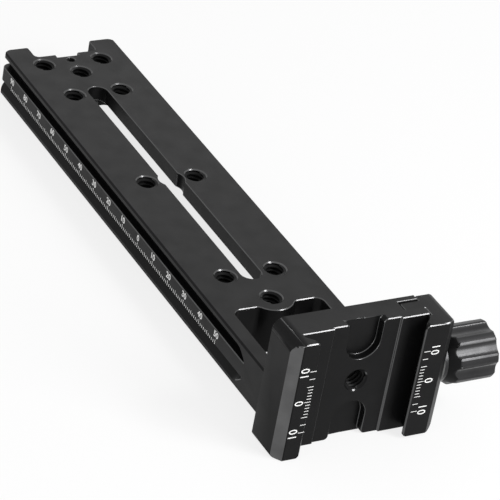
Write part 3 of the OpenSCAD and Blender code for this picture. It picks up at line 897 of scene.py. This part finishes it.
@dataclass
class SlottedRail:
    """The double dovetail bar with its camera threads and the scale on its near ridge.

    Attributes:
        height: The rail's height.
        web: The thickness of the slotted web.
        side: The distance from the centre line to the ridge's face.
        pair_x: The places of the three hole pairs along the rail.
        pair_y: The distance of their holes from the centre line.
        single_x: The distance of the single holes from the middle.
        end_pair: The place of the pair between the ears.
        stop_x: The place of the stop screw's hole.
        rim: The countersink at each hole's mouth.
        bevel: The width of the skin's chamfers.
        scale_zero_x: The place of the scale's zero.
        scale_marks: The scale's first and last mark, in millimetres.
        scale_low: The height at which the ticks start.
        tick_width: The width of a tick.
        tick_heights: The heights of the ticks at 1, 5 and 10 mm.
        figure_middle: The height of the figures' middle.
        figure_size: The height of the figures.
    """

    height: float = 14.5
    web: float = 4.9
    side: float = 19.0
    pair_x: tuple[float, ...] = (-50.8, 0.0, 50.8)
    pair_y: float = 8.0
    single_x: float = 63.5
    end_pair: tuple[float, float] = (-69.7, 9.8)
    stop_x: float = -71.0
    rim: float = 0.35
    bevel: float = 0.22
    scale_zero_x: float = 18.3
    scale_marks: tuple[int, int] = (-90, 50)
    scale_low: float = -9.45
    tick_width: float = 0.22
    tick_heights: tuple[float, float, float] = (0.95, 1.25, 1.55)
    figure_middle: float = -6.35
    figure_size: float = 2.0

    def build(self) -> None:
        """Builds the rail's pieces."""
        skin = Piece("rail_skin", Body.RAIL, Slot.BLACK, BLACK, BLACK_EDGE_HIGHLIGHT)
        skin.from_solid("rail", self.bevel)
        self.cut_threads()
        self.fill_scale()

    def cut_threads(self) -> None:
        """Puts a threaded liner into each camera hole and into the stop screw's hole."""
        deep = (-self.height + self.rim, -self.rim)
        shallow = (-self.web + self.rim, -self.rim)
        holes = [(x, s * self.pair_y, *shallow) for x in self.pair_x for s in (-1, 1)]
        holes += [(s * self.single_x, 0.0, *deep) for s in (-1, 1)]
        holes += [(self.end_pair[0], s * self.end_pair[1], *deep) for s in (-1, 1)]
        liners = [
            threaded_liner(CAMERA_THREAD, low, high).moved((x, y, 0.0)) for x, y, low, high in holes
        ]
        threads = Piece("camera_threads", Body.RAIL, Slot.BLACK, BLACK)
        threads.from_patch(Patch.join(liners))
        stop = threaded_liner(STOP_THREAD, *deep, columns=28).moved((self.stop_x, 0.0, 0.0))
        Piece("stop_thread", Body.RAIL, Slot.BLACK, BLACK).from_patch(stop)

    def fill_scale(self) -> None:
        """Fills the millimetre scale, which runs from 90 at the ears to 50 by the clamp."""
        scale = Engraving((self.scale_zero_x, -self.side, 0.0), (1, 0, 0), (0, 0, 1))
        first, last = self.scale_marks
        marks = np.arange(first, last + 1)
        kind = np.where(marks % 10 == 0, 2, np.where(marks % 5 == 0, 1, 0))
        tall = np.array(self.tick_heights)[kind]
        low = np.full(len(marks), self.scale_low)
        scale.bars(marks.astype(float), low, low + tall, self.tick_width)
        for mark in range(first, last + 1, 10):
            scale.number(abs(mark), float(mark), self.figure_middle, self.figure_size)
        scale.build("rail_scale", Body.RAIL)


@dataclass
class ClampScale:
    """The short scale on one jaw's face, with its zero at the middle of the clamp.

    Attributes:
        name: The piece's name.
        body: The body that it moves with.
        inner_y: The inner end of the ticks.
        outwards: -1 on the fixed jaw and 1 on the moving jaw.
        face_x: The place of the jaw's face.
        middle_z: The height of the zero.
        marks: The marks on one side of the zero, which the other side mirrors.
        tall: The height of the tick at each mark.
        tick_width: The width of a tick.
        figure_size: The height of the figures.
        figure_gap: The gap between the tallest tick and the figures.
        figure_squeeze: The width of the figures as a share of the font's own.
    """

    name: str
    body: Body
    inner_y: float
    outwards: int
    face_x: float = 116.4
    middle_z: float = 4.5
    marks: tuple[float, ...] = (0, 1, 2, 3, 4, 5, 7.5, 10)
    tall: tuple[float, ...] = (1.9, 1.35, 1.35, 1.35, 1.35, 1.9, 1.7, 1.9)
    tick_width: float = 0.18
    figure_size: float = 2.6
    figure_gap: float = 0.3
    figure_squeeze: float = 0.92

    def build(self) -> None:
        """Fills the ticks and the figures 10, 0 and 10."""
        up = (0, self.outwards, 0)
        right = (0, 0, -self.outwards)
        origin = (self.face_x, self.inner_y, self.middle_z)
        scale = Engraving(origin, right, up, boldness=0.0)
        marks, tall = np.array(self.marks, float), np.array(self.tall, float)
        along = np.concatenate([-marks[:0:-1], marks])
        high = np.concatenate([tall[:0:-1], tall])
        scale.bars(along, np.zeros_like(high), high, self.tick_width)
        middle = max(self.tall) + self.figure_gap + self.figure_size / 2.0
        for value in (-10, 0, 10):
            squeeze = self.figure_squeeze
            scale.number(abs(value), float(value), middle, self.figure_size, squeeze)
        scale.build(self.name, self.body)


@dataclass
class ScrewClamp:
    """The fixed jaw with its channel floor, the moving jaw, their scales and the centre thread.

    Attributes:
        back_x: The place of the clamp's back.
        floor_x: The place of the channel's floor.
        middle_z: The height of the clamp's middle.
        rim: The countersink at the centre hole's mouths.
        bevel: The width of the skins' chamfers.
        slant: The direction in which the fixed jaw's broad slanted face looks; that face gets a
            lighter finish as a painted reflection.
        fixed_ticks_y: The inner end of the ticks on the fixed jaw.
        moving_ticks_y: The inner end of the ticks on the moving jaw.
    """

    SAME_WAY = 0.995

    back_x: float = 102.4
    floor_x: float = 111.0
    middle_z: float = 4.5
    rim: float = 0.35
    bevel: float = 0.22
    slant: Triple = (2.35, -3.0, 0.0)
    fixed_ticks_y: float = -17.1
    moving_ticks_y: float = 16.3

    def build(self) -> None:
        """Builds the clamp's pieces."""
        slant = Vector(self.slant).normalized()
        # The fixed jaw's slanted face takes the lighter band finish: a painted reflection.
        base = Piece(
            "clamp_base_skin",
            Body.RAIL,
            Slot.BLACK,
            BLACK,
            edge=BLACK_EDGE_HIGHLIGHT,
            band=BLACK_BEVEL_REFLECTION,
            in_band=lambda face: face.normal.dot(slant) > self.SAME_WAY,
        )
        base.from_solid("clamp_base", self.bevel)
        jaw = Piece("moving_jaw_skin", Body.JAW, Slot.BLACK, BLACK, BLACK_EDGE_HIGHLIGHT)
        jaw.from_solid("moving_jaw", self.bevel)
        ClampScale("fixed_jaw_scale", Body.RAIL, self.fixed_ticks_y, -1).build()
        ClampScale("moving_jaw_scale", Body.JAW, self.moving_ticks_y, 1).build()
        liner = threaded_liner(CAMERA_THREAD, self.back_x + self.rim, self.floor_x - self.rim)
        turned = Patch(Axis.X.turn(liner.points), liner.faces).moved((0.0, 0.0, self.middle_z))
        Piece("clamp_thread", Body.RAIL, Slot.BLACK, BLACK).from_patch(turned)


@dataclass
class ClampKnob:
    """The fluted knob, whose cone and neck get the near-black finish as painted shade, so that they
    look darker than its grip.

    Attributes:
        grip_y: The place at which the grip starts; the faces before it get painted shade.
        bevel: The width of the chamfers at the flutes' crests and ends.
        corner: Edges sharper than this, in degrees, are bevelled.
    """

    grip_y: float = 30.9
    bevel: float = 0.3
    corner: float = 32.0

    def build(self) -> None:
        """Builds the knob's skin."""
        # The cone and neck, before grip_y, take the near-black finish: painted shade between the
        # grip and the jaw.
        skin = Piece(
            "knob_skin",
            Body.KNOB,
            Slot.BLACK,
            BLACK_TURNED,
            edge=KNOB_EDGE_HIGHLIGHT,
            band=BLACK,
            in_band=lambda face: face.calc_center_median().y < self.grip_y * MM,
        )
        skin.from_solid("clamp_knob", self.bevel, self.corner)


@dataclass(frozen=True)
class Softbox:
    """A square lamp that faces the object.

    Attributes:
        name: The lamp's name.
        direction: Where it hangs, seen from the target.
        distance: How far away it hangs.
        size: The length of its sides.
        watts: Its power.
    """

    name: str
    direction: Triple
    distance: float
    size: float
    watts: float

    def hang(self, target: Triple) -> None:
        """Hangs the lamp.

        Args:
            target: The point that it faces.
        """
        light = bpy.data.lights.new(self.name, "AREA")
        light.shape, light.size, light.energy = "SQUARE", self.size * MM, self.watts
        lamp = bpy.data.objects.new(self.name, light)
        bpy.context.scene.collection.objects.link(lamp)
        towards = Vector(self.direction).normalized()
        lamp.location = (Vector(target) + towards * self.distance) * MM
        lamp.rotation_mode = "QUATERNION"
        lamp.rotation_quaternion = (-towards).to_track_quat("-Z", "Y")


@dataclass
class Studio:
    """The pale floor, the soft lamps, the white surroundings and the camera.

    Attributes:
        target: The point that the lamps face.
        camera_at: The camera's place.
        azimuth: The camera's direction, in degrees from -Y towards +X.
        elevation: The camera's height above the horizon, in degrees.
        roll: The camera's turn about its own axis, in degrees.
        lens: The focal length for an image as wide as film_width, in millimetres.
        film_width: The width of the image behind the lens, in millimetres.
        clip: The nearest and farthest distance that the camera sees, in metres.
        floor_z: The floor's height, a hair below the part.
        floor_half: Half the length of the floor's sides.
        floor_tone: The floor's grey.
        floor_roughness: The floor's roughness.
        floor_glow: How far the floor shows plain white, which leaves the rest to its shadow.
        surroundings: The strength of the surroundings as a lamp.
        lamps: The soft lamps.
    """

    target: Triple = (20.0, 5.0, 0.0)
    camera_at: Triple = (660.762, -403.504, 467.717)
    azimuth: float = 56.6177
    elevation: float = 32.1956
    roll: float = 10.6679
    lens: float = 220.724
    film_width: float = 36.0
    clip: tuple[float, float] = (0.05, 20.0)
    floor_z: float = -14.55
    floor_half: float = 3000.0
    floor_tone: float = 0.86
    floor_roughness: float = 0.8
    floor_glow: float = 0.8
    surroundings: float = 0.55
    lamps: tuple[Softbox, ...] = (
        Softbox("top_box", (-0.70, 0.46, 0.55), distance=900.0, size=500.0, watts=0.7),
        Softbox("key_box", (0.53, 0.47, 0.71), distance=800.0, size=160.0, watts=1.9),
        Softbox("side_box", (0.45, -0.85, 0.10), distance=500.0, size=160.0, watts=0.5),
        Softbox("front_box", (0.76, 0.46, 0.46), distance=800.0, size=330.0, watts=3.6),
    )

    def build(self) -> None:
        """Sets up the whole studio."""
        self.set_world()
        self.lay_floor()
        for lamp in self.lamps:
            lamp.hang(self.target)
        self.set_camera()
        bpy.context.scene.view_settings.view_transform = "Standard"

    def set_world(self) -> None:
        """Makes the surroundings white to camera, glossy and transmitted rays, softer to others."""
        world = bpy.data.worlds.new("surroundings")
        bpy.context.scene.world = world
        sheet = NodeSheet(world)
        seen = sheet.seen_directly("Is Transmission Ray")
        level = sheet.add("ShaderNodeMapRange", Value=seen, To_Min=self.surroundings, To_Max=1.0)
        white = (1.0, 1.0, 1.0, 1.0)
        sky = sheet.add("ShaderNodeBackground", Color=white, Strength=level.outputs["Result"])
        sheet.add("ShaderNodeOutputWorld", Surface=sky.outputs["Background"])

    def floor_material(self) -> bpy.types.Material:
        """Builds the floor's material, part of which glows white to the eye.

        Returns:
            The material.
        """
        sheet = FinishSheet("pale_floor")
        tone = (self.floor_tone, self.floor_tone, self.floor_tone, 1.0)
        sheet.put(sheet.shader.inputs["Base Color"], tone)
        sheet.put(sheet.shader.inputs["Roughness"], self.floor_roughness)
        glow = sheet.add("ShaderNodeEmission", Strength=1.0)
        share = sheet.reckon("MULTIPLY", sheet.seen_directly(), self.floor_glow)
        mix = sheet.add("ShaderNodeMixShader")
        surfaces = (share, sheet.shader.outputs["BSDF"], glow.outputs["Emission"])
        for socket, value in zip(mix.inputs, surfaces):
            sheet.put(socket, value)
        sheet.put(sheet.output.inputs["Surface"], mix.outputs["Shader"])
        return sheet.material

    def lay_floor(self) -> None:
        """Lays the pale floor, which shows white with a faint shadow under the object."""
        corners = np.array([[-1, -1], [1, -1], [1, 1], [-1, 1]]) * self.floor_half
        points = np.concatenate([corners, np.full((4, 1), self.floor_z)], axis=1) * MM
        mesh = bpy.data.meshes.new("floor")
        mesh.from_pydata(points.tolist(), [], [[0, 1, 2, 3]])
        mesh.materials.append(self.floor_material())
        floor = bpy.data.objects.new("floor", mesh)
        bpy.context.scene.collection.objects.link(floor)

    def set_camera(self) -> None:
        """Stands the camera where the photograph was taken from."""
        a, e, r = (math.radians(v) for v in (self.azimuth, self.elevation, self.roll))
        back = Vector((math.sin(a) * math.cos(e), -math.cos(a) * math.cos(e), math.sin(e)))
        level = Vector((0, 0, 1)).cross(back).normalized()
        upright = back.cross(level)
        right = level * math.cos(r) + upright * math.sin(r)
        up = upright * math.cos(r) - level * math.sin(r)
        data = bpy.data.cameras.new("photo_camera")
        data.lens, data.sensor_width, data.sensor_fit = self.lens, self.film_width, "HORIZONTAL"
        data.clip_start, data.clip_end = self.clip
        camera = bpy.data.objects.new("photo_camera", data)
        bpy.context.scene.collection.objects.link(camera)
        turned = Matrix((right, up, back)).transposed().to_4x4()
        camera.matrix_world = Matrix.Translation(Vector(self.camera_at) * MM) @ turned
        bpy.context.scene.camera = camera


def dress_small_solids() -> None:
    """Gives the solids that keep their own meshes their finishes."""
    finishes = {
        "thread_bush": STEEL,
        "jaw_bush": BRONZE,
        # Both washers behind the knob get darkened tones: painted shade.
        "friction_washer": SHADED_NYLON,
        "thrust_washer": SHADED_STEEL,
        "lead_screw": STEEL,
        "retaining_ring": BLACK_STEEL,
        "knob_grub_screw_back": BLACK_STEEL,
        "knob_grub_screw_under": BLACK_STEEL,
        "mounting_screw_left": BLACK_STEEL,
        "mounting_screw_right": BLACK_STEEL,
        "lock_washer_left": STEEL,
        "lock_washer_right": STEEL,
        "dowel_pin_left": STEEL,
        "dowel_pin_right": STEEL,
        "return_spring_upper": SPRING_STEEL,
        "return_spring_lower": SPRING_STEEL,
    }
    for node, finish in finishes.items():
        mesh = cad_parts[node].data
        mesh.materials.clear()
        mesh.materials.append(finish.material())


def main() -> None:
    """Builds the sub-assemblies in order."""
    logging.basicConfig(level=logging.INFO, format="%(name)s %(message)s")
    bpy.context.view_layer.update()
    dress_small_solids()
    for part in (SlottedRail(), ScrewClamp(), ClampKnob(), Studio()):
        part.build()
        LOG.info("%s built", type(part).__name__)


if __name__ == "__main__":
    main()
